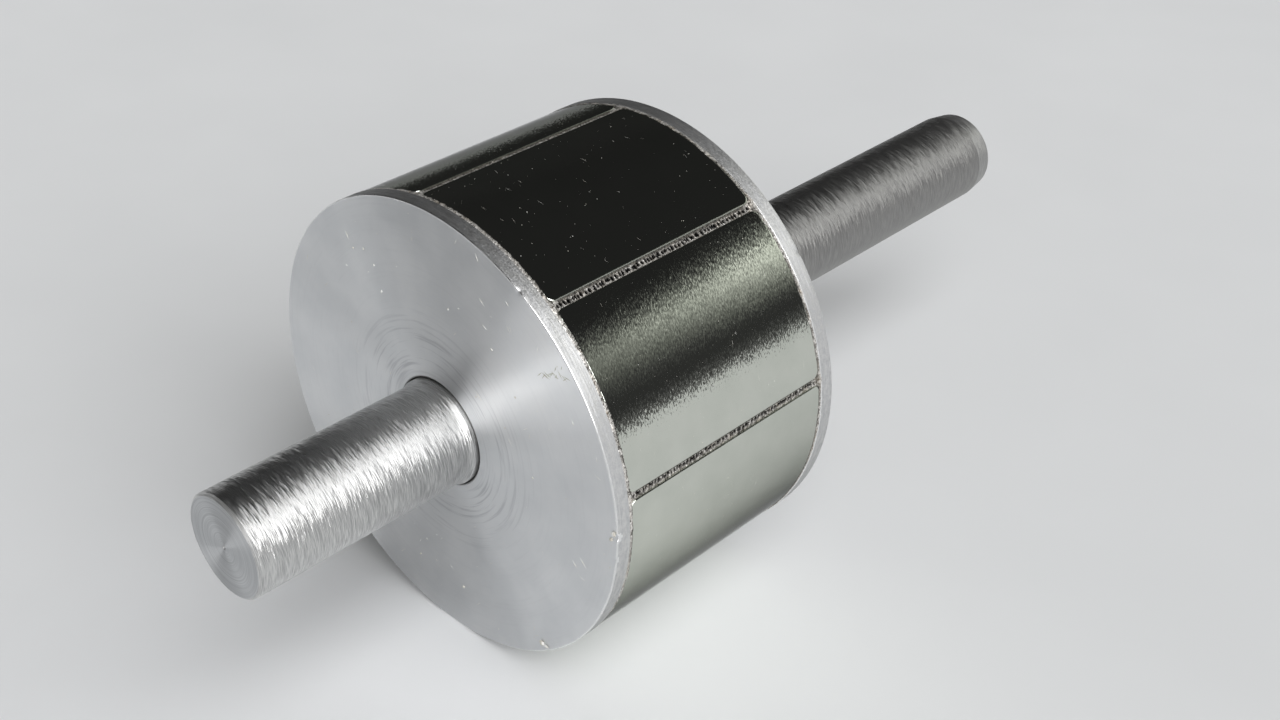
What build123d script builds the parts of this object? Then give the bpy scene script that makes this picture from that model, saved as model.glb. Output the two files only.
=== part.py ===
from build123d import *
import os
from math import asin, cos, degrees, radians, sin, sqrt

# Permanent magnet rotor, lying on its side: the shaft runs along Y, the short end points to -Y,
# Z is up, and the origin is on the spin axis at the middle of the drum. Lengths are in millimetres.

# Driving dimensions
drum_diameter = 54.5
magnet_length = 30.0
magnet_thickness = 5.0
plate_thickness = 2.0
journal_diameter = 12.0
seat_diameter = 12.6
front_stub_length = 28.0
rear_stub_length = 63.6

# Magnet ring: one magnet stands a little clockwise of the top, seen from the short end
magnet_count = 8
magnet_phase_angle = 14.8
magnet_gap = 0.9
magnet_sink = 0.08
magnet_corner_radius = 0.9
magnet_edge_chamfer = 0.25

# Adhesive: end beads beside the plates, a film under the magnets, and how far it stands below them
bead_width = 0.2
bond_line = 0.05
adhesive_sink = 0.12

# Shaft ends and shoulders
front_end_chamfer = 0.3
rear_end_chamfer = 1.0
shoulder_overhang = 0.4
shoulder_blend_length = 1.2

# Plates
bore_clearance = 0.02
bore_chamfer = 0.25
rim_chamfer = 0.15

# Derived values
drum_radius = drum_diameter / 2
journal_radius = journal_diameter / 2
seat_radius = seat_diameter / 2
bore_radius = seat_radius + bore_clearance
magnet_outer_radius = drum_radius - magnet_sink
magnet_inner_radius = magnet_outer_radius - magnet_thickness
core_radius = magnet_inner_radius - bond_line
adhesive_radius = magnet_outer_radius - adhesive_sink
core_length = magnet_length + 2 * bead_width
drum_length = core_length + 2 * plate_thickness
pitch_angle = 360 / magnet_count
front_face = -drum_length / 2
rear_face = drum_length / 2
front_end = front_face - front_stub_length
rear_end = rear_face + rear_stub_length
magnet_front = -magnet_length / 2
shoulder_step = seat_radius - journal_radius
blend_radius = (shoulder_blend_length**2 + shoulder_step**2) / (2 * shoulder_step)

os.makedirs("parts", exist_ok=True)


def section_plane(station, angle):
    """Cross-section at a station on Y, its X axis pointing outward at an angle from the top."""
    outward = (sin(radians(angle)), 0, cos(radians(angle)))
    return Plane(origin=(0, station, 0), x_dir=outward, z_dir=(0, 1, 0))


def chord_half_angle(radius):
    """Half of the angle that one magnet covers at a radius, with half a gap off each side."""
    return radians(pitch_angle / 2) - asin(magnet_gap / 2 / radius)


# Shaft: ground journals at both ends of a larger seat, each shoulder blended by a tool radius
blend_drop = blend_radius - sqrt(blend_radius**2 - (shoulder_blend_length / 2) ** 2)
front_shoulder = front_face - shoulder_overhang
rear_shoulder = rear_face + shoulder_overhang
with BuildPart() as shaft:
    with BuildSketch(Plane.XY):
        with BuildLine():
            Polyline(
                (0, front_end),
                (journal_radius - front_end_chamfer, front_end),
                (journal_radius, front_end + front_end_chamfer),
                (journal_radius, front_shoulder - shoulder_blend_length),
            )
            ThreePointArc(
                (journal_radius, front_shoulder - shoulder_blend_length),
                (journal_radius + blend_drop, front_shoulder - shoulder_blend_length / 2),
                (seat_radius, front_shoulder),
            )
            Line((seat_radius, front_shoulder), (seat_radius, rear_shoulder))
            ThreePointArc(
                (seat_radius, rear_shoulder),
                (journal_radius + blend_drop, rear_shoulder + shoulder_blend_length / 2),
                (journal_radius, rear_shoulder + shoulder_blend_length),
            )
            Polyline(
                (journal_radius, rear_shoulder + shoulder_blend_length),
                (journal_radius, rear_end - rear_end_chamfer),
                (journal_radius - rear_end_chamfer, rear_end),
                (0, rear_end),
            )
            Line((0, rear_end), (0, front_end))
        make_face()
    revolve(axis=Axis.Y)
shaft.part.label = "shaft"
export_step(shaft.part, "parts/shaft.step")

# Core: the steel sleeve on the seat that carries the magnets and closes their field
with BuildPart() as rotor_core:
    with BuildSketch(section_plane(-core_length / 2, 0)):
        Circle(core_radius)
        Circle(bore_radius, mode=Mode.SUBTRACT)
    extrude(amount=core_length)
rotor_core.part.label = "rotor_core"
export_step(rotor_core.part, "parts/rotor_core.step")


def plate_profile(outer_face, inner_face):
    """Half section of an end plate: bore chamfered outside, rim edges broken on both sides."""
    inward = 1 if inner_face > outer_face else -1
    Polyline(
        (bore_radius + bore_chamfer, outer_face),
        (drum_radius - rim_chamfer, outer_face),
        (drum_radius, outer_face + inward * rim_chamfer),
        (drum_radius, inner_face - inward * rim_chamfer),
        (drum_radius - rim_chamfer, inner_face),
        (bore_radius, inner_face),
        (bore_radius, outer_face + inward * bore_chamfer),
        close=True,
    )


# End plates: turned aluminium discs whose rims stand beside the magnets
with BuildPart() as front_end_plate:
    with BuildSketch(Plane.XY):
        with BuildLine():
            plate_profile(front_face, front_face + plate_thickness)
        make_face()
    revolve(axis=Axis.Y)
front_end_plate.part.label = "front_end_plate"
export_step(front_end_plate.part, "parts/front_end_plate.step")

with BuildPart() as rear_end_plate:
    with BuildSketch(Plane.XY):
        with BuildLine():
            plate_profile(rear_face, rear_face - plate_thickness)
        make_face()
    revolve(axis=Axis.Y)
rear_end_plate.part.label = "rear_end_plate"
export_step(rear_end_plate.part, "parts/rear_end_plate.step")

# Magnets: arc segments with parallel gaps between them, round corners and eased outer edges
outer_half = chord_half_angle(magnet_outer_radius)
inner_half = chord_half_angle(magnet_inner_radius)
outer_x = magnet_outer_radius * cos(outer_half)
outer_y = magnet_outer_radius * sin(outer_half)
inner_x = magnet_inner_radius * cos(inner_half)
inner_y = magnet_inner_radius * sin(inner_half)
magnets = []
for index in range(magnet_count):
    magnet_angle = magnet_phase_angle + index * pitch_angle
    with BuildPart() as magnet:
        with BuildSketch(section_plane(magnet_front, magnet_angle)):
            with BuildLine():
                ThreePointArc((outer_x, -outer_y), (magnet_outer_radius, 0), (outer_x, outer_y))
                Line((outer_x, outer_y), (inner_x, inner_y))
                ThreePointArc((inner_x, inner_y), (magnet_inner_radius, 0), (inner_x, -inner_y))
                Line((inner_x, -inner_y), (outer_x, -outer_y))
            make_face()
        extrude(amount=magnet_length)
        corners = magnet.edges().filter_by(GeomType.LINE).filter_by(Axis.Y, reverse=True)
        fillet(corners, magnet_corner_radius)
        outer_face = magnet.faces().sort_by(SortBy.AREA)[-1]
        chamfer(outer_face.edges(), magnet_edge_chamfer)
    magnet.part.label = f"magnet_{index + 1}"
    export_step(magnet.part, f"parts/magnet_{index + 1}.step")
    magnets.append(magnet.part)

# Adhesive seams: what fills the gap between two magnets, out to their round corners
seam_half_width = magnet_gap / 2 + magnet_corner_radius
seam_top_x = sqrt(adhesive_radius**2 - seam_half_width**2)
seam_bottom_x = sqrt(magnet_inner_radius**2 - seam_half_width**2)
seams = []
for index in range(magnet_count):
    seam_angle = magnet_phase_angle + (index + 0.5) * pitch_angle
    with BuildPart() as seam:
        with BuildSketch(section_plane(magnet_front, seam_angle)):
            with BuildLine():
                ThreePointArc(
                    (seam_top_x, -seam_half_width),
                    (adhesive_radius, 0),
                    (seam_top_x, seam_half_width),
                )
                Line((seam_top_x, seam_half_width), (seam_bottom_x, seam_half_width))
                ThreePointArc(
                    (seam_bottom_x, seam_half_width),
                    (magnet_inner_radius, 0),
                    (seam_bottom_x, -seam_half_width),
                )
                Line((seam_bottom_x, -seam_half_width), (seam_top_x, -seam_half_width))
            make_face()
        extrude(amount=magnet_length)
        add(magnets[index], mode=Mode.SUBTRACT)
        add(magnets[(index + 1) % magnet_count], mode=Mode.SUBTRACT)
    seam.part.label = f"epoxy_seam_{index + 1}"
    export_step(seam.part, f"parts/epoxy_seam_{index + 1}.step")
    seams.append(seam.part)

# Adhesive beads: the rings squeezed out between the magnet ends and the plates
with BuildPart() as front_epoxy_bead:
    with BuildSketch(section_plane(-core_length / 2, 0)):
        Circle(adhesive_radius)
        Circle(magnet_inner_radius, mode=Mode.SUBTRACT)
    extrude(amount=bead_width)
front_epoxy_bead.part.label = "front_epoxy_bead"
export_step(front_epoxy_bead.part, "parts/front_epoxy_bead.step")

with BuildPart() as rear_epoxy_bead:
    with BuildSketch(section_plane(magnet_length / 2, 0)):
        Circle(adhesive_radius)
        Circle(magnet_inner_radius, mode=Mode.SUBTRACT)
    extrude(amount=bead_width)
rear_epoxy_bead.part.label = "rear_epoxy_bead"
export_step(rear_epoxy_bead.part, "parts/rear_epoxy_bead.step")
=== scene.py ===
import math
import random
from collections import namedtuple

import bpy
import numpy as np
from mathutils import Matrix, Vector, noise


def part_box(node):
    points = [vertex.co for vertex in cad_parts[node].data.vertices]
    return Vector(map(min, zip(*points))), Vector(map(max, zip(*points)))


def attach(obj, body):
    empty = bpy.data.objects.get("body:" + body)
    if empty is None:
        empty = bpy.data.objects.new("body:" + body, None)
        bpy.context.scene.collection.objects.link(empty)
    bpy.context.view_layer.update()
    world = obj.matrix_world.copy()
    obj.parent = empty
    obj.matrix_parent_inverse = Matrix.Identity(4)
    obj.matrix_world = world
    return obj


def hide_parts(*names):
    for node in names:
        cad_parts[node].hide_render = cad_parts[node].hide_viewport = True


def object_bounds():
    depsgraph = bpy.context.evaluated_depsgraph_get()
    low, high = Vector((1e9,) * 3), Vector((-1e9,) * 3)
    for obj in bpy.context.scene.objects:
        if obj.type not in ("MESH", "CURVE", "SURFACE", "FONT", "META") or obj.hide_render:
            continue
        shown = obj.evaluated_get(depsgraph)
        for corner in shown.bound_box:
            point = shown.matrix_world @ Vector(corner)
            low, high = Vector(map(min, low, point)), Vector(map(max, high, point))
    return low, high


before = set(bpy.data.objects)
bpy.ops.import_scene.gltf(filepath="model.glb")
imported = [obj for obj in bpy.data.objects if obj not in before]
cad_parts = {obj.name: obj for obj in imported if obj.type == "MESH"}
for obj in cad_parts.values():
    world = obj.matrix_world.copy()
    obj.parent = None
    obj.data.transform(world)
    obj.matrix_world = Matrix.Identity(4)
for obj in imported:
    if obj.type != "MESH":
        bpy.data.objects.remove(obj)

CAD_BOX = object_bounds()
MM = 0.001

# Sizes in millimetres. What the frame can give comes from the frame.
SHAFT_LOW, SHAFT_HIGH = (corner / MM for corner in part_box("shaft"))
PLATE_LOW, PLATE_HIGH = (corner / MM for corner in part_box("front_end_plate"))
FRONT_END = SHAFT_LOW.y
REAR_END = SHAFT_HIGH.y
SEAT_RADIUS = SHAFT_HIGH.x
DRUM_RADIUS = PLATE_HIGH.x
FACE_STATION = -PLATE_LOW.y
PLATE_THICKNESS = PLATE_HIGH.y - PLATE_LOW.y
MAGNET_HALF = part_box("magnet_1")[1].y / MM

# Shaft
JOURNAL_RADIUS = 6.0
FRONT_CHAMFER = 0.3
REAR_CHAMFER = 1.0
REAR_TAPER = 3.2
REAR_TAPER_DEPTH = 0.42
REAR_NOSE = 0.4
SHOULDER_OVERHANG = 0.4
SHOULDER_BLEND = 1.2
PIP_RADIUS = 0.25
PIP_DEPTH = 0.12

# End plates
BORE_CLEARANCE = 0.02
BORE_RADIUS = SEAT_RADIUS + BORE_CLEARANCE
BORE_CHAMFER = 0.25
RIM_CHAMFER = 0.15
EDGE_BAND = 2.0

# Magnets
MAGNET_COUNT = 8
MAGNET_PITCH = math.radians(360 / MAGNET_COUNT)
MAGNET_PHASE = math.radians(14.8)
MAGNET_SINK = 0.08
MAGNET_THICKNESS = 5.0
MAGNET_RADIUS = DRUM_RADIUS - MAGNET_SINK
MAGNET_BACK = MAGNET_RADIUS - MAGNET_THICKNESS
MAGNET_GAP = 0.9
MAGNET_CORNER = 0.9
MAGNET_EDGE = 0.16

# How finely the pieces are cut
SHAFT_SEGMENTS, PLATE_SEGMENTS, BEAD_SEGMENTS = 288, 960, 2160
FRONT_FACE_ROWS, FRONT_ROWS, REAR_ROWS, REAR_FACE_ROWS = 8, 26, 44, 7
FACE_RINGS, EDGE_RINGS, ROUND_RINGS, RIM_RINGS = 14, 8, 5, 8
BLEND_ROWS, EASE_ROWS, CORNER_ROWS, FLAT_ROWS = 8, 6, 5, 24
SEAM_ROWS, SEAM_COLUMNS, BEAD_COLUMNS = 721, 23, 13


# Mesh tools

def new_piece(name, points, faces, node=None, sharp=30):
    """A smooth-shaded piece from points in millimetres, which rides on the rotor and may stand for a CAD node."""
    mesh = bpy.data.meshes.new(name)
    mesh.from_pydata((np.asarray(points, float) * MM).tolist(), [], faces)
    mesh.validate()
    mesh.polygons.foreach_set("use_smooth", [True] * len(mesh.polygons))
    mesh.set_sharp_from_angle(angle=math.radians(sharp))
    piece = bpy.data.objects.new(name, mesh)
    bpy.context.scene.collection.objects.link(piece)
    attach(piece, "root")
    if node:
        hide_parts(node)
    return piece


def dress(piece, *materials):
    """Gives a piece these materials in place of its own."""
    piece.data.materials.clear()
    for material in materials:
        piece.data.materials.append(material)


def polar(radius, angle, station):
    """A point at an angle from +Z towards +X."""
    return radius * math.sin(angle), station, radius * math.cos(angle)


def steps(start, stop, count):
    """Evenly spaced values from start up to, but without, stop."""
    return [start + (stop - start) * i / count for i in range(count)]


def lathe(outline, segments, closed):
    """Points and faces of an outline of (radius, station) turned about Y.

    A closed outline is a ring. An open one starts and ends with a point on the axis.
    """
    rows = outline if closed else outline[1:-1]
    angles = steps(0, 2 * math.pi, segments)
    points = [polar(radius, angle, station) for radius, station in rows for angle in angles]
    faces = []
    for i in range(len(rows) if closed else len(rows) - 1):
        a, b = i * segments, (i + 1) % len(rows) * segments
        for j in range(segments):
            k = (j + 1) % segments
            faces.append((a + j, a + k, b + k, b + j))
    if not closed:
        first, last = len(points), len(points) + 1
        base = (len(rows) - 1) * segments
        points += [(0, outline[0][1], 0), (0, outline[-1][1], 0)]
        for j in range(segments):
            k = (j + 1) % segments
            faces += [(first, k, j), (last, base + j, base + k)]
    return points, faces


def sheet_faces(rows, columns):
    """Quads of a grid of points, row by row."""
    faces = []
    for i in range(rows - 1):
        for j in range(columns - 1):
            a = i * columns + j
            faces.append((a, a + 1, a + 1 + columns, a + columns))
    return faces


def sheet_border(rows, columns):
    """The points round the edge of such a grid, in order."""
    border = list(range(columns))
    border += [i * columns + columns - 1 for i in range(1, rows)]
    border += [(rows - 1) * columns + j for j in range(columns - 2, -1, -1)]
    border += [i * columns for i in range(rows - 2, 0, -1)]
    return border


def strip_faces(rows, columns):
    """Faces of a closed slab: a top grid, then an underside of two points per row."""
    shift = rows * columns
    faces = sheet_faces(rows, columns)
    for i in range(rows - 1):
        left, right = i * columns, i * columns + columns - 1
        a, b = shift + 2 * i, shift + 2 * i + 1
        faces += [(a, a + 2, b + 2, b), (left, left + columns, a + 2, a), (right + columns, right, b, b + 2)]
    last = (rows - 1) * columns
    faces.append((*range(columns - 1, -1, -1), shift, shift + 1))
    faces.append((*range(last, last + columns), shift + 2 * rows - 1, shift + 2 * rows - 2))
    return faces


def slab_faces(rows, columns):
    """Faces of a closed slab: a top grid, then a bottom grid of the same size."""
    shift = rows * columns
    faces = sheet_faces(rows, columns)
    faces += [tuple(shift + i for i in reversed(face)) for face in faces]
    border = sheet_border(rows, columns)
    for a, b in zip(border, border[1:] + border[:1]):
        faces.append((b, a, shift + a, shift + b))
    return faces


# Node tools

class Nodes:
    """Short calls for building the node tree of a material or a world."""

    def __init__(self, owner):
        owner.use_nodes = True
        self.owner = owner
        self.tree = owner.node_tree
        self.tree.nodes.clear()

    def add(self, kind, **values):
        node = self.tree.nodes.new(kind)
        for key, value in values.items():
            setattr(node, key, value)
        return node

    def put(self, socket, value):
        if hasattr(value, "is_output"):
            self.tree.links.new(value, socket)
        else:
            socket.default_value = value

    def math(self, operation, a, b):
        node = self.add("ShaderNodeMath", operation=operation)
        self.put(node.inputs[0], a)
        self.put(node.inputs[1], b)
        return node.outputs[0]

    def plus(self, a, b):
        return self.math("ADD", a, b)

    def times(self, a, b):
        return self.math("MULTIPLY", a, b)

    def vector(self, operation, a, b=None, scale=None):
        node = self.add("ShaderNodeVectorMath", operation=operation)
        self.put(node.inputs[0], a)
        if b is not None:
            self.put(node.inputs[1], b)
        if scale is not None:
            self.put(node.inputs["Scale"], scale)
        return node.outputs["Value" if operation in ("LENGTH", "DOT_PRODUCT") else "Vector"]

    def split(self, vector):
        node = self.add("ShaderNodeSeparateXYZ")
        self.put(node.inputs[0], vector)
        return node.outputs

    def combine(self, x, y, z):
        node = self.add("ShaderNodeCombineXYZ")
        for socket, value in zip(node.inputs, (x, y, z)):
            self.put(socket, value)
        return node.outputs[0]

    def noise(self, vector, scale=1.0, detail=2.0, rough=0.55, output="Fac"):
        node = self.add("ShaderNodeTexNoise")
        values = {"Vector": vector, "Scale": scale, "Detail": detail, "Roughness": rough}
        for name, value in values.items():
            self.put(node.inputs[name], value)
        return node.outputs[output]

    def span(self, value, low, high, to_low=0.0, to_high=1.0):
        """The value mapped from one range to another, and held at its ends."""
        node = self.add("ShaderNodeMapRange", clamp=True)
        values = {"Value": value, "From Min": low, "From Max": high, "To Min": to_low, "To Max": to_high}
        for name, number in values.items():
            self.put(node.inputs[name], number)
        return node.outputs[0]

    def mix(self, factor, a, b):
        node = self.add("ShaderNodeMix", data_type="RGBA")
        self.put(node.inputs["Factor"], factor)
        self.put(node.inputs["A"], (*a, 1) if isinstance(a, tuple) else a)
        self.put(node.inputs["B"], (*b, 1) if isinstance(b, tuple) else b)
        return node.outputs["Result"]

    def attribute(self, name):
        return self.add("ShaderNodeAttribute", attribute_name=name).outputs["Fac"]

    def surface(self, **values):
        """The material's Principled shader, by socket name, joined to its output."""
        shader = self.add("ShaderNodeBsdfPrincipled")
        for key, value in values.items():
            self.put(shader.inputs[key.replace("_", " ")], value)
        output = self.add("ShaderNodeOutputMaterial")
        self.put(output.inputs["Surface"], shader.outputs[0])
        return self.owner


Place = namedtuple("Place", "point x y z radius normal around across")


def surface_place(n):
    """A point's place in millimetres, with the directions round the spin axis and across the tool marks."""
    point = n.vector("SCALE", n.add("ShaderNodeTexCoord").outputs["Object"], scale=1 / MM)
    x, y, z = n.split(point)
    flat = n.combine(x, 0.0, z)
    normal = n.add("ShaderNodeNewGeometry").outputs["Normal"]
    around = n.vector("NORMALIZE", n.vector("CROSS_PRODUCT", (0, 1, 0), flat))
    across = n.vector("NORMALIZE", n.vector("CROSS_PRODUCT", normal, around))
    return Place(point, x, y, z, n.vector("LENGTH", flat), normal, around, across)


def tool_marks(n, place, along, over, slant=0.0, detail=2.0):
    """Noise about zero, drawn out round the spin axis, with its frequencies per millimetre round and across."""
    turn = n.times(n.math("SUBTRACT", place.x, place.z), slant)
    march = n.plus(n.times(n.plus(place.y, place.radius), over), turn)
    stretched = n.combine(n.times(place.x, along), march, n.times(place.z, along))
    return n.plus(n.noise(stretched, detail=detail), -0.5)


def leaning(n, place, across=0.0, around=0.0):
    """The surface's normal, leaned by these amounts."""
    sideways = n.vector("SCALE", place.across, scale=across)
    onward = n.vector("SCALE", place.around, scale=around)
    return n.vector("NORMALIZE", n.vector("ADD", place.normal, n.vector("ADD", sideways, onward)))


# Materials

# Between which radii the rings on a plate's face come and go, where outside the bore the painted shade of the gap
# fades, how gradually the painted highlight on the shaft's tip starts, and how high the adhesive's grain is
RINGS_COME, RINGS_GO = (6.6, 8.0), (10.0, 15.5)
BORE_SHADE_START, BORE_SHADE_STOP = 0.12, 0.35
LIT_TIP_BLEND = 0.1
EPOXY_GRAIN = 0.08


def faced_aluminium():
    """The plates' faces: bright, with facing rings that show most near the shaft, and painted shade in the bore's
    edge.
    """
    n = Nodes(bpy.data.materials.new("faced_aluminium"))
    place = surface_place(n)
    fine = tool_marks(n, place, along=0.05, over=14.0)
    arcs = tool_marks(n, place, along=0.14, over=2.4, detail=3.0)
    near_shaft = n.times(n.span(place.radius, *RINGS_GO, 1.0, 0.0), n.span(place.radius, *RINGS_COME))
    haze = n.noise(place.point, scale=0.16, detail=3.0)
    ring = n.times(n.span(arcs, 0.02, 0.16), n.plus(n.times(near_shaft, 0.75), 0.08))
    colour = n.mix(n.span(haze, 0.35, 0.7), (0.83, 0.84, 0.85), (0.77, 0.785, 0.80))
    colour = n.mix(ring, colour, (0.62, 0.63, 0.65))
    # Painted shade: the colour darkens to near black just outside the bore, where the gap to the shaft lies in
    # shadow.
    bore_shade = n.span(place.radius, BORE_RADIUS + BORE_SHADE_START, BORE_RADIUS + BORE_SHADE_STOP, 1.0, 0.0)
    colour = n.mix(bore_shade, colour, (0.05, 0.045, 0.04))
    lean = n.plus(n.times(fine, 0.05), n.times(arcs, n.plus(n.times(near_shaft, 0.16), 0.015)))
    rough = n.plus(n.span(haze, 0.3, 0.7, 0.42, 0.46), n.times(ring, 0.05))
    return n.surface(Base_Color=colour, Metallic=1.0, Roughness=rough, Anisotropic=1.0,
                     Tangent=place.across, Normal=leaning(n, place, across=lean))


def turned_rim():
    """The plates' rims: matt, mottled, with coarse turning lines."""
    n = Nodes(bpy.data.materials.new("turned_rim"))
    place = surface_place(n)
    lines = tool_marks(n, place, along=0.25, over=6.0, detail=3.0)
    mottle = tool_marks(n, place, along=1.2, over=2.2, detail=3.0)
    grain = n.plus(n.noise(place.point, scale=5.0), -0.5)
    tone = n.plus(n.plus(mottle, n.times(lines, 0.6)), n.times(grain, 0.5))
    colour = n.mix(n.span(tone, -0.22, 0.22), (0.58, 0.585, 0.595), (0.76, 0.76, 0.755))
    return n.surface(Base_Color=colour, Metallic=1.0, Roughness=n.span(mottle, -0.2, 0.2, 0.54, 0.44),
                     Specular_Tint=(0.3, 0.3, 0.3, 1.0), Anisotropic=0.3, Tangent=place.across,
                     Normal=leaning(n, place, across=n.times(lines, 0.5), around=n.times(grain, 0.5)))


def burnished_edge():
    """The plates' outer edges: rubbed bright."""
    n = Nodes(bpy.data.materials.new("burnished_edge"))
    place = surface_place(n)
    wear = tool_marks(n, place, along=0.8, over=3.0)
    colour = n.mix(n.span(wear, -0.2, 0.2), (0.92, 0.92, 0.92), (0.74, 0.745, 0.75))
    return n.surface(Base_Color=colour, Metallic=1.0, Roughness=n.span(wear, -0.2, 0.2, 0.24, 0.36),
                     Normal=leaning(n, place, around=n.times(wear, 0.3)))


def polished_steel():
    """The shaft: rubbed round with emery, so that fine scratches, each leaning its own way, spread the light.

    The rear journal is darkened towards the rear with painted shade and has broader strokes; at its tapered tip the
    painted shade lifts, as a painted highlight.
    """
    n = Nodes(bpy.data.materials.new("polished_steel"))
    place = surface_place(n)
    hairs = n.plus(tool_marks(n, place, along=0.60, over=16.0, slant=0.6),
                   tool_marks(n, place, along=0.55, over=12.0, slant=-0.9))
    fingers = tool_marks(n, place, along=0.20, over=6.0, slant=0.2)
    colour = n.mix(n.span(hairs, -0.20, 0.20), (0.72, 0.72, 0.71), (0.44, 0.44, 0.44))
    # Painted shade: the colour darkens along the rear journal; the tapered tip is left lighter, a painted highlight
    # on its ring.
    rearward = n.span(place.y, 0.0, FACE_STATION)
    tip_start = REAR_END - REAR_TAPER
    lit_tip = n.span(place.y, tip_start - LIT_TIP_BLEND, tip_start + LIT_TIP_BLEND)
    rear_shade = n.math("SUBTRACT", n.times(rearward, 0.55), n.times(lit_tip, 0.20))
    colour = n.mix(rear_shade, colour, (0.10, 0.094, 0.088))
    rough = n.plus(n.times(hairs, 0.15), 0.42)
    strokes = tool_marks(n, place, along=0.25, over=1.8, slant=0.3)
    strokes = n.times(strokes, n.span(rearward, 0.0, 1.0, 0.12, 0.4))
    around = n.plus(n.plus(n.times(hairs, 1.05), n.times(fingers, 0.30)), strokes)
    return n.surface(Base_Color=colour, Metallic=1.0, Roughness=rough, Anisotropic=0.7, Tangent=place.across,
                     Normal=leaning(n, place, across=n.times(hairs, 0.2), around=around))


def faced_steel():
    """The shaft's ends: duller, with fine facing rings."""
    n = Nodes(bpy.data.materials.new("faced_steel"))
    place = surface_place(n)
    rings = tool_marks(n, place, along=0.05, over=5.0, detail=3.0)
    colour = n.mix(n.span(rings, -0.2, 0.2), (0.60, 0.61, 0.62), (0.44, 0.45, 0.46))
    return n.surface(Base_Color=colour, Metallic=1.0, Roughness=n.span(rings, -0.2, 0.2, 0.34, 0.42),
                     Anisotropic=0.95, Tangent=place.across, Normal=leaning(n, place, across=n.times(rings, 0.10)))


def bright_nickel():
    """The magnets' plating: a mirror with a fine sparkling grain."""
    n = Nodes(bpy.data.materials.new("bright_nickel"))
    place = surface_place(n)
    peel_round, peel_across, _ = n.split(n.noise(place.point, scale=0.5, output="Color"))
    slanted = n.plus(n.times(place.y, 7.0), n.times(place.x, 3.0))
    strokes = n.combine(n.times(place.x, 3.0), slanted, n.times(place.z, 3.0))
    grain_round, grain_across, _ = n.split(n.noise(strokes, detail=3.0, rough=0.7, output="Color"))
    around = n.plus(n.times(n.plus(peel_round, -0.5), 0.014), n.times(n.plus(grain_round, -0.5), 0.28))
    across = n.plus(n.times(n.plus(peel_across, -0.5), 0.014), n.times(n.plus(grain_across, -0.5), 0.22))
    cloud = n.noise(place.point, scale=0.22, detail=3.0)
    colour = n.mix(n.span(cloud, 0.35, 0.7), (0.68, 0.70, 0.64), (0.63, 0.655, 0.595))
    return n.surface(Base_Color=colour, Metallic=1.0, Roughness=n.span(cloud, 0.3, 0.75, 0.06, 0.10),
                     Specular_Tint=(0.25, 0.25, 0.25, 1.0), Normal=leaning(n, place, across=across, around=around))


def bubbly_epoxy():
    """The adhesive: dark and glossy, pale where it is thin between bubbles, with painted shade making them black
    inside.
    """
    n = Nodes(bpy.data.materials.new("bubbly_epoxy"))
    place = surface_place(n)
    grains = n.noise(place.point, scale=4.5, detail=3.0, rough=0.65)
    tint = n.noise(place.point, scale=0.9)
    dark = n.mix(n.span(grains, 0.40, 0.65), (0.012, 0.011, 0.010), (0.13, 0.12, 0.10))
    pale = n.mix(n.span(grains, 0.34, 0.56), (0.06, 0.05, 0.04), (0.74, 0.72, 0.69))
    pale = n.mix(n.span(tint, 0.48, 0.7, 0.0, 0.35), pale, (0.34, 0.25, 0.14))
    colour = n.mix(n.attribute("pale"), dark, pale)
    # Painted shade: the insides of the bubbles are coloured black.
    colour = n.mix(n.attribute("pit_shade"), colour, (0.004, 0.004, 0.004))
    bump = n.add("ShaderNodeBump")
    for name, value in {"Strength": 0.8, "Distance": EPOXY_GRAIN * MM, "Height": grains}.items():
        n.put(bump.inputs[name], value)
    return n.surface(Base_Color=colour, Metallic=n.times(n.attribute("pale"), 0.5), Specular_IOR_Level=0.4,
                     Roughness=n.span(grains, 0.3, 0.7, 0.42, 0.22), Normal=bump.outputs[0])


def core_steel():
    """The hidden sleeve under the magnets."""
    n = Nodes(bpy.data.materials.new("core_steel"))
    cloud = n.noise(surface_place(n).point, scale=0.3, detail=3.0)
    return n.surface(Base_Color=n.mix(n.span(cloud, 0.3, 0.7), (0.42, 0.42, 0.43), (0.34, 0.34, 0.35)),
                     Metallic=1.0, Roughness=n.span(cloud, 0.3, 0.7, 0.35, 0.5))


def pale_dust():
    """Dust, crumbs and the lips of scratches."""
    n = Nodes(bpy.data.materials.new("pale_dust"))
    tint = n.noise(surface_place(n).point, scale=1.7)
    return n.surface(Base_Color=n.mix(n.span(tint, 0.4, 0.6), (0.85, 0.85, 0.82), (0.66, 0.63, 0.56)),
                     Roughness=n.span(tint, 0.3, 0.7, 0.5, 0.8))


def olive_stain():
    """The smear on the front face."""
    n = Nodes(bpy.data.materials.new("olive_stain"))
    tint = n.noise(surface_place(n).point, scale=2.5)
    return n.surface(Base_Color=n.mix(n.span(tint, 0.35, 0.65), (0.46, 0.46, 0.36), (0.30, 0.29, 0.20)),
                     Roughness=n.span(tint, 0.3, 0.7, 0.35, 0.6))


FACED = faced_aluminium()
RIMMED = turned_rim()
BURNISHED = burnished_edge()
STEEL = polished_steel()
STEEL_END = faced_steel()
NICKEL = bright_nickel()
EPOXY = bubbly_epoxy()
CORE = core_steel()
DUST = pale_dust()
STAIN = olive_stain()


# Shaft

END_FACING = 0.9


def shoulder_arc(station, sign):
    """Points of the tool-radius blend from the journal up to the seat at a station."""
    rise = SEAT_RADIUS - JOURNAL_RADIUS
    radius = (SHOULDER_BLEND ** 2 + rise ** 2) / (2 * rise)
    points = []
    for along in steps(0, SHOULDER_BLEND, BLEND_ROWS) + [SHOULDER_BLEND]:
        climb = radius - math.sqrt(radius ** 2 - along ** 2)
        points.append((JOURNAL_RADIUS + climb, station + sign * (SHOULDER_BLEND - along)))
    return points


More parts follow.
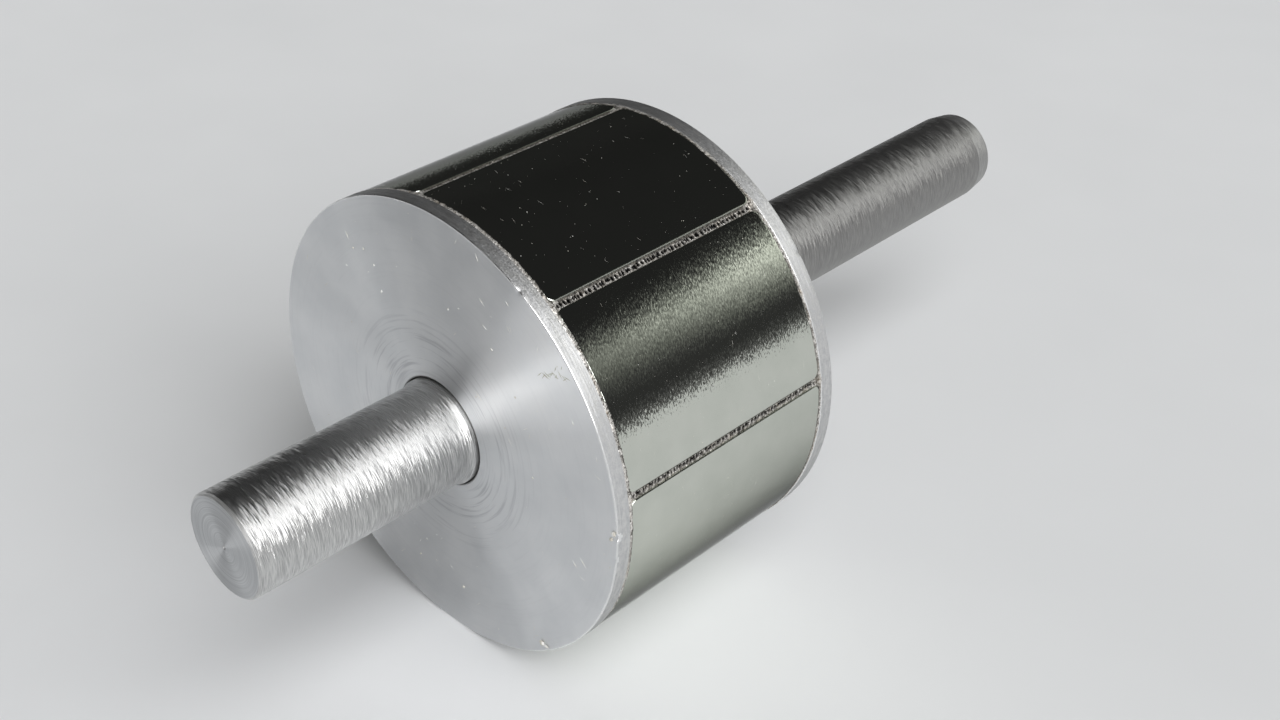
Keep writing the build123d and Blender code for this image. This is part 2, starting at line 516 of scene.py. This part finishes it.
def build_shaft():
    """The shaft: a pip in the front end, blended shoulders at the plates, and a slender taper at the rear end."""
    front = shoulder_arc(-FACE_STATION - SHOULDER_OVERHANG, -1)
    rear = shoulder_arc(FACE_STATION + SHOULDER_OVERHANG, 1)
    front_edge, front_side = JOURNAL_RADIUS - FRONT_CHAMFER, FRONT_END + FRONT_CHAMFER
    rear_side = REAR_END - REAR_TAPER
    outline = [(0, FRONT_END + PIP_DEPTH), (PIP_RADIUS / 2, FRONT_END + PIP_DEPTH)]
    outline += [(radius, FRONT_END) for radius in steps(PIP_RADIUS, front_edge, FRONT_FACE_ROWS)]
    outline += [(front_edge, FRONT_END)]
    outline += [(JOURNAL_RADIUS, station) for station in steps(front_side, front[0][1], FRONT_ROWS)]
    outline += front + rear[::-1]
    outline += [(JOURNAL_RADIUS, station) for station in steps(rear[0][1], rear_side, REAR_ROWS)[1:]]
    outline += [(JOURNAL_RADIUS, rear_side), (JOURNAL_RADIUS - REAR_TAPER_DEPTH, REAR_END - REAR_NOSE)]
    outline += [(radius, REAR_END) for radius in steps(JOURNAL_RADIUS - REAR_CHAMFER, 0, REAR_FACE_ROWS)]
    outline += [(0, REAR_END)]
    points, faces = lathe(outline, SHAFT_SEGMENTS, closed=False)
    shaft = new_piece("polished_shaft", points, faces, "shaft", sharp=25)
    dress(shaft, STEEL, STEEL_END)
    for face in shaft.data.polygons:
        if abs(face.normal.y) > END_FACING:
            face.material_index = 1


# End plates

# Nicks, by degrees from the top
Nick = namedtuple("Nick", "degrees radius reach depth")
FRONT_NICKS = (Nick(90, 27.2, 0.30, 0.30), Nick(144, 26.9, 0.34, 0.26),
               Nick(96, 27.2, 0.20, 0.12), Nick(31, 27.2, 0.25, 0.10))
REAR_NICKS = (Nick(200, 27.2, 0.30, 0.20), Nick(52, 27.2, 0.22, 0.12))
EDGE_SLACK = 0.01
ROUNDED_TILT = 0.1


def build_plate(name, node, sign, nicks):
    """A turned disc whose outer face is at the front (sign -1) or the rear (sign 1), with nicks in its edge."""
    outer = sign * FACE_STATION
    inner = outer - sign * PLATE_THICKNESS
    edge = DRUM_RADIUS - RIM_CHAMFER
    rim_start, rim_stop = outer - sign * RIM_CHAMFER, inner + sign * RIM_CHAMFER
    outline = [(BORE_RADIUS, outer - sign * BORE_CHAMFER)]
    outline += [(radius, outer) for radius in steps(BORE_RADIUS + BORE_CHAMFER, edge - EDGE_BAND, FACE_RINGS)]
    outline += [(radius, outer) for radius in steps(edge - EDGE_BAND, edge, EDGE_RINGS)]
    for turn in steps(0, math.pi / 2, ROUND_RINGS):
        outline.append((edge + RIM_CHAMFER * math.sin(turn), outer - sign * RIM_CHAMFER * (1 - math.cos(turn))))
    outline += [(DRUM_RADIUS, station) for station in steps(rim_start, rim_stop, RIM_RINGS) + [rim_stop]]
    outline += [(edge, inner), (MAGNET_BACK, inner), (BORE_RADIUS, inner)]
    if sign > 0:
        outline.reverse()
    points, faces = lathe(outline, PLATE_SEGMENTS, closed=True)
    points = np.array(points)
    for nick in nicks:
        angle = math.radians(nick.degrees)
        gap = points - np.array(polar(nick.radius, angle, outer))
        near = np.exp(-(gap ** 2).sum(1) / (2 * nick.reach ** 2))
        inward = -np.array(polar(1, angle, sign)) / math.sqrt(2)
        points += near[:, None] * inward * nick.depth
    plate = new_piece(name, points, faces, node, sharp=25)
    dress(plate, FACED, RIMMED, BURNISHED)
    for face in plate.data.polygons:
        if math.hypot(face.center.x, face.center.z) > (edge + EDGE_SLACK) * MM:
            face.material_index = 2 if abs(face.normal.y) > ROUNDED_TILT else 1


# Magnets

def eased_lines(half):
    """Places from one side of a magnet to the other, close together in the eased edges and round corners."""
    ease = [half - MAGNET_EDGE * (1 - math.cos(angle)) for angle in steps(0, math.pi / 2, EASE_ROWS)]
    curve = steps(half - MAGNET_EDGE, half - MAGNET_CORNER, CORNER_ROWS)
    side = ease + curve + steps(half - MAGNET_CORNER, 0, FLAT_ROWS)
    return [-place for place in side] + [0] + side[::-1]


def half_angle(radius):
    """Half the angle that a magnet fills at a radius, beside a gap with parallel sides."""
    return MAGNET_PITCH / 2 - math.asin(MAGNET_GAP / 2 / radius)


def rounded(s, t, half_s, half_t):
    """A place on a magnet moved into its round corners, and how far inside the outline it is."""
    u = max(0.0, (abs(s) - half_s) / MAGNET_CORNER + 1)
    v = max(0.0, (abs(t) - half_t) / MAGNET_CORNER + 1)
    if u == 0 or v == 0:
        return s, t, min(half_s - abs(s), half_t - abs(t))
    round_u, round_v = u * math.sqrt(1 - v * v / 2), v * math.sqrt(1 - u * u / 2)
    s = math.copysign(half_s + MAGNET_CORNER * (round_u - 1), s)
    t = math.copysign(half_t + MAGNET_CORNER * (round_v - 1), t)
    return s, t, MAGNET_CORNER * (1 - math.hypot(round_u, round_v))


def build_magnet(index):
    """An arc segment with round corners and eased outer edges."""
    middle = MAGNET_PHASE + index * MAGNET_PITCH
    half_width = MAGNET_RADIUS * half_angle(MAGNET_RADIUS)
    across, along = eased_lines(half_width), eased_lines(MAGNET_HALF)
    top, bottom = [], []
    for t in along:
        for s in across:
            place, station, inset = rounded(s, t, half_width, MAGNET_HALF)
            bite = MAGNET_EDGE - min(max(inset, 0.0), MAGNET_EDGE)
            radius = MAGNET_RADIUS - MAGNET_EDGE + math.sqrt(MAGNET_EDGE ** 2 - bite ** 2)
            share = place / half_width
            top.append(polar(radius, middle + share * half_angle(radius), station))
            bottom.append(polar(MAGNET_BACK, middle + share * half_angle(MAGNET_BACK), station))
    faces = slab_faces(len(along), len(across))
    piece = new_piece(f"plated_magnet_{index + 1}", top + bottom, faces,
                      f"magnet_{index + 1}", sharp=40)
    dress(piece, NICKEL)


# Adhesive

# Seams: how far they reach under the magnets, their depth and what rises in it, and where the fillet, the pale part
# and the pale ends start and stop
SEAM_SEED, SEAM_STRIDE, SEAM_OVERLAP = 400, 7.3, 0.03
SEAM_DEPTH, END_RISE, GRAIN_RISE, FILLET_RISE = 0.26, 0.10, 0.05, 0.10
FILLET_START, FILLET_STOP = -0.25, -0.45
PALE_START, PALE_STOP, PALE_WAVER = -0.28, -0.16, 0.06
END_START, END_STOP = 1.4, 0.5

# Bubbles: their margins at the two ends, their lengths and widths, and their spacing and depth in lengths
BUBBLE_FIRST, BUBBLE_LAST = 0.7, 0.6
BUBBLE_LENGTHS, BUBBLE_WIDTHS, BUBBLE_SPACINGS = (0.13, 0.23), (0.19, 0.31), (1.9, 3.2)
BUBBLE_MIDDLE, BUBBLE_WANDER, BUBBLE_DEPTH = 0.05, 0.04, 2.4

# Beads: where they lie, their half width and what changes it, and what rises from them
FRONT_BEAD_SEED, REAR_BEAD_SEED = 11, 29
BEAD_STATION = FACE_STATION - PLATE_THICKNESS
BEAD_SHIFT, BEAD_SINK, BEAD_CLEARANCE, BEAD_OVERLAP = 0.14, 0.05, 0.004, 0.02
BEAD_WIDTH, BEAD_WAVER, BEAD_WANDER = 0.34, 0.10, 0.06
BLOB_REACH, BLOB_WIDTH, BLOB_RISE = 0.75, 0.16, 0.06
LUMP_RISE, FINE_RISE, BEAD_CROWN = 0.04, 0.06, 0.22


def set_marks(piece, pit_shade, pale):
    """How far each point is inside a bubble, which sets the painted shade there, and how pale the adhesive is
    there.
    """
    for name, values in (("pit_shade", pit_shade), ("pale", pale)):
        layer = piece.data.attributes.new(name, "FLOAT", "POINT")
        layer.data.foreach_set("value", np.asarray(values, np.float32).ravel())


def ramp(value, low, high):
    """How far a value has come from low to high, held between 0 and 1."""
    return np.clip((value - low) / (high - low), 0, 1)


def seam_grain(u, t, level):
    """Coarse and fine noise at a place in a seam."""
    spot = Vector((u, t, level))
    return noise.noise(spot * 3.1) + noise.noise(spot * 8.0)


def build_seam(index):
    """Adhesive between two magnets: a smooth fillet on one side, a row of burst bubbles on the other, pale ends."""
    rng = random.Random(SEAM_SEED + index)
    middle = MAGNET_PHASE + (index + 0.5) * MAGNET_PITCH
    along = np.linspace(-MAGNET_HALF, MAGNET_HALF, SEAM_ROWS)
    shares = np.linspace(-1, 1, SEAM_COLUMNS)
    over = np.maximum(0, np.abs(along) - (MAGNET_HALF - MAGNET_CORNER))
    widen = MAGNET_CORNER - np.sqrt(np.maximum(0, MAGNET_CORNER ** 2 - over ** 2))
    half = MAGNET_GAP / 2 + SEAM_OVERLAP + widen
    u = half[:, None] * shares[None, :]
    t = np.repeat(along[:, None], len(shares), 1)

    # The level under the magnets, raised at the ends and in the fillet, and where the adhesive is pale
    grain = np.array([[seam_grain(a, b, index * SEAM_STRIDE) for a, b in zip(row_u, row_t)]
                      for row_u, row_t in zip(u, t)])
    ends = ramp(np.abs(t), MAGNET_HALF - END_START, MAGNET_HALF - END_STOP)
    fillet = FILLET_RISE * ramp(u, FILLET_START, FILLET_STOP) * (1 - ends)
    level = -SEAM_DEPTH + END_RISE * ends + GRAIN_RISE * grain + fillet
    pale = ramp(u + PALE_WAVER * grain, PALE_START, PALE_STOP) * (0.46 + 0.65 * grain)
    pale = np.maximum(ends * 0.9, pale)

    # A row of bubbles from one end to the other
    pit_shade = np.zeros(u.shape)
    place = -MAGNET_HALF + BUBBLE_FIRST
    while place < MAGNET_HALF - BUBBLE_LAST:
        length, width = rng.uniform(*BUBBLE_LENGTHS), rng.uniform(*BUBBLE_WIDTHS)
        reach = np.hypot((u - rng.gauss(BUBBLE_MIDDLE, BUBBLE_WANDER)) / width, (t - place) / length)
        bowl = np.sqrt(np.clip(1 - reach ** 2, 0, 1))
        level -= BUBBLE_DEPTH * length * bowl
        # Painted shade: the deeper inside a bubble, the blacker its colour.
        pit_shade = np.maximum(pit_shade, np.clip(4.0 * bowl, 0, 1))
        place += length * rng.uniform(*BUBBLE_SPACINGS)

    sheets = []
    for r, side, station in ((MAGNET_RADIUS + level, u, t), (MAGNET_BACK, u[:, [0, -1]], t[:, [0, -1]])):
        angle = middle + np.arcsin(side / r)
        sheets.append(np.stack((r * np.sin(angle), station, r * np.cos(angle)), -1).reshape(-1, 3))
    piece = new_piece(f"bubbly_seam_{index + 1}", np.concatenate(sheets), strip_faces(len(along), len(shares)),
                      f"epoxy_seam_{index + 1}", sharp=60)
    blank = np.zeros(len(sheets[1]))
    set_marks(piece, np.concatenate((pit_shade.ravel(), blank)), np.concatenate((np.clip(pale, 0, 1).ravel(), blank)))
    dress(piece, EPOXY)


def build_bead(name, node, sign, seed):
    """The ring of adhesive between the magnets and a plate, lumpy, with a blob at the end of each seam."""
    points, pale, faces = [], [], []
    turns = steps(0, 2 * math.pi, BEAD_SEGMENTS)
    for angle in turns:
        ring = Vector((DRUM_RADIUS * math.sin(angle), DRUM_RADIUS * math.cos(angle), seed))
        seams = (angle - MAGNET_PHASE) / MAGNET_PITCH - 0.5
        blob = math.exp(-(abs(seams - round(seams)) * MAGNET_PITCH * DRUM_RADIUS / BLOB_REACH) ** 2)
        lump = noise.noise(ring * 0.8) + 0.8 * noise.noise(ring * 2.3)
        width = BEAD_WIDTH + BEAD_WAVER * noise.noise(ring * 1.3) + BLOB_WIDTH * blob
        shift = BEAD_WANDER * noise.noise(ring * 2.1)
        for j in range(BEAD_COLUMNS):
            v = 2 * j / (BEAD_COLUMNS - 1) - 1
            fine = noise.noise(ring * 5.0 + Vector((v * 1.6, 0, 0)))
            fine += 0.6 * noise.noise(ring * 11.0 + Vector((v * 3.0, 0, 0)))
            rise = LUMP_RISE * lump + FINE_RISE * fine + BLOB_RISE * blob - BEAD_CROWN * v ** 4
            radius = min(DRUM_RADIUS - BEAD_SINK + rise, DRUM_RADIUS - BEAD_CLEARANCE)
            points.append(polar(radius, angle, sign * (BEAD_STATION - BEAD_SHIFT + shift - width * v)))
            tone = 0.75 + 0.7 * lump + 0.9 * fine + 0.5 * blob - 0.9 * ramp(v, 0.1, 0.5)
            pale.append(min(1.0, max(0.0, tone)))
        for station in (MAGNET_HALF - BEAD_OVERLAP, BEAD_STATION + BEAD_OVERLAP):
            points.append(polar(MAGNET_BACK, angle, sign * station))
            pale.append(0.0)
    count = BEAD_COLUMNS + 2
    for k in range(len(turns)):
        a, b = k * count, (k + 1) % len(turns) * count
        for j in range(count):
            i = (j + 1) % count
            quad = (a + j, a + i, b + i, b + j)
            faces.append(quad if sign > 0 else quad[::-1])
    piece = new_piece(name, points, faces, node, sharp=70)
    set_marks(piece, np.zeros(len(points)), pale)
    dress(piece, EPOXY)


# Dust, scratches and a stain

FLECK_SIDES = 6
FleckRing = namedtuple("FleckRing", "height width twist")
FLECK_RINGS = (FleckRing(0.0, 0.8, 0.0), FleckRing(0.35, 1.0, 0.3), FleckRing(0.7, 0.55, 0.6))


class Grains:
    """Collects small closed shapes that lie on a surface, for one piece."""

    def __init__(self, seed):
        self.rng = random.Random(seed)
        self.points, self.faces = [], []

    def fleck(self, place, out, size, stretch=2.2):
        """A squashed irregular grain."""
        out, place = Vector(out).normalized(), Vector(place)
        side = out.orthogonal().normalized()
        side.rotate(Matrix.Rotation(self.rng.uniform(0, 2 * math.pi), 3, out))
        other = out.cross(side)
        stretch = self.rng.uniform(1.0, stretch)
        base = len(self.points)
        for ring in FLECK_RINGS:
            for angle in steps(ring.twist, ring.twist + 2 * math.pi, FLECK_SIDES):
                reach = size * ring.width * self.rng.uniform(0.75, 1.2)
                spread = side * math.cos(angle) * stretch + other * math.sin(angle)
                self.points.append(place + spread * reach + out * size * ring.height)
        middle, top, end = (base + FLECK_SIDES * k for k in (1, 2, 3))
        for low, high in ((base, middle), (middle, top)):
            for k in range(FLECK_SIDES):
                j = (k + 1) % FLECK_SIDES
                self.faces.append((low + k, low + j, high + j, high + k))
        self.faces.append(tuple(range(middle - 1, base - 1, -1)))
        self.faces.append(tuple(range(top, end)))

    def scratch(self, place, out, heading, length, width):
        """The raised lip of a scratch: a long thin ridge with pointed ends."""
        out, place = Vector(out).normalized(), Vector(place)
        ahead = Vector(heading).normalized() * length / 2
        aside = out.cross(ahead).normalized() * width / 2
        base = len(self.points)
        self.points += [place + ahead, place + aside, place - ahead, place - aside,
                        place + out * width / 3, place - out * width / 3]
        for k in range(4):
            a, b = base + k, base + (k + 1) % 4
            self.faces += [(a, b, base + 4), (b, a, base + 5)]

    def piece(self, name, material, slot):
        """Makes the piece of all that was collected."""
        dress(new_piece(name, [tuple(p) for p in self.points], self.faces, sharp=50), material)


# Marks that show on the front face: radius and degrees from the top, then a scratch's length or a crumb's size
FACE_SCRATCHES = ((26, 18, 1.1), (21.5, 23, 1.2), (23.5, -35, 1.2), (10.5, 42, 1.5), (23, 105, 1.6),
                  (22, 108, 1.1), (24.5, 30, 0.8), (19, 27, 0.9), (24, 62, 0.8))
FACE_SPECKS = ((22, -35), (21.5, -30), (19.5, -28), (16.5, -30), (17.5, 33), (17, 10), (16.5, 51),
               (10, 41), (15, 85), (21, -165))
EDGE_CRUMBS = ((26.8, 89, 0.36), (26.4, 91, 0.22), (26.2, 144, 0.36), (26.7, 143, 0.24), (21, 174, 0.18))
STAIN_START, STAIN_STOP = (22.5, 49), (26.5, 51)

# What lies anywhere: how many on the magnets and on each plate, how far from their ends, in pitches how near to a
# magnet's middle, and between which radii
DUST_SEED, SCRATCH_SEED, STAIN_SEED = 77, 31, 5
MAGNET_DUST, PLATE_DUST = 1300, 70
MAGNET_SCRATCHES, PLATE_SCRATCHES, STAIN_STROKES = 160, 26, 18
DUST_MARGIN, DUST_REACH, DUST_RING = 0.6, 0.45, (8.5, 26.6)
SCRATCH_MARGIN, SCRATCH_REACH, SCRATCH_RING = 1.5, 0.42, (9.0, 26.0)

# Sizes: the least fleck and how much larger the largest is, the lengths, widths and slant of scratches, and how far
# the stain's strokes stray, in millimetres outward and degrees round
MAGNET_FLECK, MAGNET_FLECK_MORE, MAGNET_STRETCH = 0.013, 0.026, 1.5
PLATE_FLECK, PLATE_FLECK_MORE, SPECK_SIZE = 0.028, 0.05, 0.11
PLATE_LENGTHS, MAGNET_LENGTHS, STAIN_LENGTHS = (0.4, 1.4), (0.3, 1.2), (0.5, 1.3)
FACE_WIDTH, PLATE_WIDTH, MAGNET_WIDTH, STAIN_WIDTH = 0.12, 0.06, 0.016, 0.09
SCRATCH_SLANT, STAIN_OUTWARD, STAIN_ROUND = 0.25, 0.15, 0.8


def on_face(radius, degrees, sign=-1):
    """A place on the front (sign -1) or the rear face."""
    return polar(radius, math.radians(degrees), sign * FACE_STATION)


def magnet_spots(rng, count, margin, reach):
    """Random angles and stations on the magnets, away from their ends and the seams."""
    for _ in range(count):
        turn, station = rng.uniform(0, MAGNET_COUNT), rng.uniform(-MAGNET_HALF + margin, MAGNET_HALF - margin)
        if abs(turn - round(turn)) < reach:
            yield MAGNET_PHASE + turn * MAGNET_PITCH, station


def ring_radius(rng, low, high):
    """A random radius, spread evenly over a ring."""
    return math.sqrt(rng.uniform(low ** 2, high ** 2))


def build_dust():
    """Specks on the magnets and the faces, and crumbs at the front plate's edge."""
    dust = Grains(DUST_SEED)
    rng = dust.rng
    for angle, station in magnet_spots(rng, MAGNET_DUST, DUST_MARGIN, DUST_REACH):
        size = MAGNET_FLECK + MAGNET_FLECK_MORE * rng.random() ** 4
        dust.fleck(polar(MAGNET_RADIUS, angle, station), polar(1, angle, 0), size, MAGNET_STRETCH)
    for sign in (-1, 1):
        for _ in range(PLATE_DUST):
            place = on_face(ring_radius(rng, *DUST_RING), rng.uniform(0, 360), sign)
            dust.fleck(place, (0, sign, 0), PLATE_FLECK + PLATE_FLECK_MORE * rng.random() ** 3)
    for radius, degrees in FACE_SPECKS:
        dust.fleck(on_face(radius, degrees), (0, -1, 0), SPECK_SIZE)
    for radius, degrees, size in EDGE_CRUMBS:
        dust.fleck(on_face(radius, degrees), (0, -1, 0), size)
    dust.piece("dust_specks", DUST, "epoxy")


def build_scratches():
    """Fine scratches on the faces and the magnets."""
    marks = Grains(SCRATCH_SEED)
    rng = marks.rng
    for radius, degrees, length in FACE_SCRATCHES:
        heading = (rng.uniform(0.4, 1), 0, rng.uniform(-1, -0.4))
        marks.scratch(on_face(radius, degrees), (0, -1, 0), heading, length, FACE_WIDTH)
    for sign in (-1, 1):
        for _ in range(PLATE_SCRATCHES):
            place = on_face(ring_radius(rng, *SCRATCH_RING), rng.uniform(0, 360), sign)
            heading = (rng.uniform(-1, 1), 0, rng.uniform(-1, 1))
            marks.scratch(place, (0, sign, 0), heading, rng.uniform(*PLATE_LENGTHS), PLATE_WIDTH)
    for angle, station in magnet_spots(rng, MAGNET_SCRATCHES, SCRATCH_MARGIN, SCRATCH_REACH):
        place, out = polar(MAGNET_RADIUS, angle, station), polar(1, angle, 0)
        heading = Vector(polar(1, angle + math.pi / 2, rng.gauss(0, SCRATCH_SLANT)))
        marks.scratch(place, out, heading, rng.uniform(*MAGNET_LENGTHS), MAGNET_WIDTH)
    marks.piece("fine_scratches", DUST, "plate_aluminium")


def build_stain():
    """The olive smear on the front face, of short strokes."""
    smear = Grains(STAIN_SEED)
    rng = smear.rng
    for share in steps(0, 1, STAIN_STROKES):
        radius = STAIN_START[0] + share * (STAIN_STOP[0] - STAIN_START[0]) + rng.gauss(0, STAIN_OUTWARD)
        degrees = STAIN_START[1] + share * (STAIN_STOP[1] - STAIN_START[1]) + rng.gauss(0, STAIN_ROUND)
        heading = (rng.uniform(0.2, 1), 0, rng.uniform(-0.6, 1))
        smear.scratch(on_face(radius, degrees), (0, -1, 0), heading, rng.uniform(*STAIN_LENGTHS), STAIN_WIDTH)
    smear.piece("face_stain", STAIN, "epoxy")


build_shaft()
build_plate("turned_front_plate", "front_end_plate", -1, FRONT_NICKS)
build_plate("turned_rear_plate", "rear_end_plate", 1, REAR_NICKS)
for number in range(MAGNET_COUNT):
    build_magnet(number)
    build_seam(number)
build_bead("front_bead_ring", "front_epoxy_bead", -1, FRONT_BEAD_SEED)
build_bead("rear_bead_ring", "rear_epoxy_bead", 1, REAR_BEAD_SEED)
build_dust()
build_scratches()
build_stain()
dress(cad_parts["rotor_core"], CORE)


# Studio

# Metres for the floor and the clipping, pixels for the lens and the photo's width, millimetres for the sensor, and
# drum radii from the front face for the camera
FLOOR_HALF = 12.0
CLIP_NEAR, CLIP_FAR = 0.005, 60.0
LENS_PIXELS, PHOTO_WIDTH, SENSOR = 1669.3, 1280, 36.0
CAMERA_FROM_FACE = Vector((4.3871, -3.4037, 3.8600))
CAMERA_RIGHT = Vector((0.72093, 0.69300, 0.0))
CAMERA_UP = Vector((-0.37400, 0.38907, 0.84187))
KEY_DIRECTION, KEY_STRENGTH, KEY_DEGREES = (0.72, -0.18, 0.66), 3.5, 66
GLOW_HEADING = Vector((0.62, 0.55, 0.0)).normalized()


def build_floor():
    """A plain pale floor under the rotor."""
    low = CAD_BOX[0][2]
    corners = [(-1, -1), (1, -1), (1, 1), (-1, 1)]
    mesh = bpy.data.meshes.new("studio_floor")
    mesh.from_pydata([(x * FLOOR_HALF, y * FLOOR_HALF, low) for x, y in corners], [], [(0, 1, 2, 3)])
    floor = bpy.data.objects.new("studio_floor", mesh)
    bpy.context.scene.collection.objects.link(floor)
    n = Nodes(bpy.data.materials.new("pale_floor"))
    mottle = n.noise(surface_place(n).point, scale=0.02, detail=3.0)
    colour = n.mix(n.span(mottle, 0.3, 0.7), (0.75, 0.76, 0.77), (0.78, 0.79, 0.80))
    dress(floor, n.surface(Base_Color=colour, Roughness=0.75))


def build_sun(name, direction, strength, degrees):
    """A soft lamp that shines from a direction and is this many degrees wide."""
    light = bpy.data.lights.new(name, "SUN")
    light.energy = strength
    light.angle = math.radians(degrees)
    lamp = bpy.data.objects.new(name, light)
    lamp.rotation_mode = "QUATERNION"
    lamp.rotation_quaternion = Vector(direction).to_track_quat("Z", "Y")
    bpy.context.scene.collection.objects.link(lamp)


def build_world():
    """A dim room with haze at the horizon, a soft bright front, a glow behind on the right and light behind.

    The magnets mirror the glow, which grows towards the rear. Everything goes by direction: y back and z up.
    """
    world = bpy.data.worlds.new("studio")
    bpy.context.scene.world = world
    n = Nodes(world)
    where = n.add("ShaderNodeTexCoord").outputs["Generated"]
    _, y, z = n.split(where)
    haze = n.span(z, 0.14, 0.0)
    room = n.plus(n.span(z, 0.0, 0.6, 0.040, 0.018), n.times(n.times(haze, haze), 0.16))
    front = n.times(n.span(y, -0.15, -0.75, 0.0, 0.34), n.span(z, 0.45, 0.8, 1.0, 0.25))
    side = n.span(n.vector("DOT_PRODUCT", where, GLOW_HEADING), 0.45, 0.85)
    hump = n.times(n.span(z, 0.18, 0.47), n.span(z, 0.64, 0.49))
    rise = n.span(y, 0.56, 0.72)
    level = n.plus(n.times(n.times(rise, rise), 1.05), 0.20)
    glow = n.times(n.times(side, n.times(hump, hump)), level)
    rear = n.span(y, 0.78, 0.96, 0.0, 0.6)
    colour = n.mix(n.span(glow, 0.0, 0.1), (1.0, 1.0, 1.0), (0.97, 1.0, 0.91))
    background = n.add("ShaderNodeBackground")
    n.put(background.inputs["Color"], colour)
    n.put(background.inputs["Strength"], n.plus(n.plus(room, front), n.plus(glow, rear)))
    n.put(n.add("ShaderNodeOutputWorld").inputs["Surface"], background.outputs[0])


def build_camera():
    """The camera at the photo's viewing angle, with the photo's lens."""
    data = bpy.data.cameras.new("camera")
    data.sensor_width = SENSOR
    data.lens = LENS_PIXELS / PHOTO_WIDTH * SENSOR
    data.clip_start = CLIP_NEAR
    data.clip_end = CLIP_FAR
    camera = bpy.data.objects.new("camera", data)
    back = CAMERA_RIGHT.cross(CAMERA_UP)
    camera.matrix_world = Matrix((CAMERA_RIGHT, CAMERA_UP, back)).transposed().to_4x4()
    camera.location = (CAMERA_FROM_FACE * DRUM_RADIUS + Vector((0, -FACE_STATION, 0))) * MM
    bpy.context.scene.collection.objects.link(camera)
    bpy.context.scene.camera = camera


build_floor()
build_world()
build_sun("key", KEY_DIRECTION, KEY_STRENGTH, KEY_DEGREES)
build_camera()
bpy.context.scene.view_settings.view_transform = "Standard"
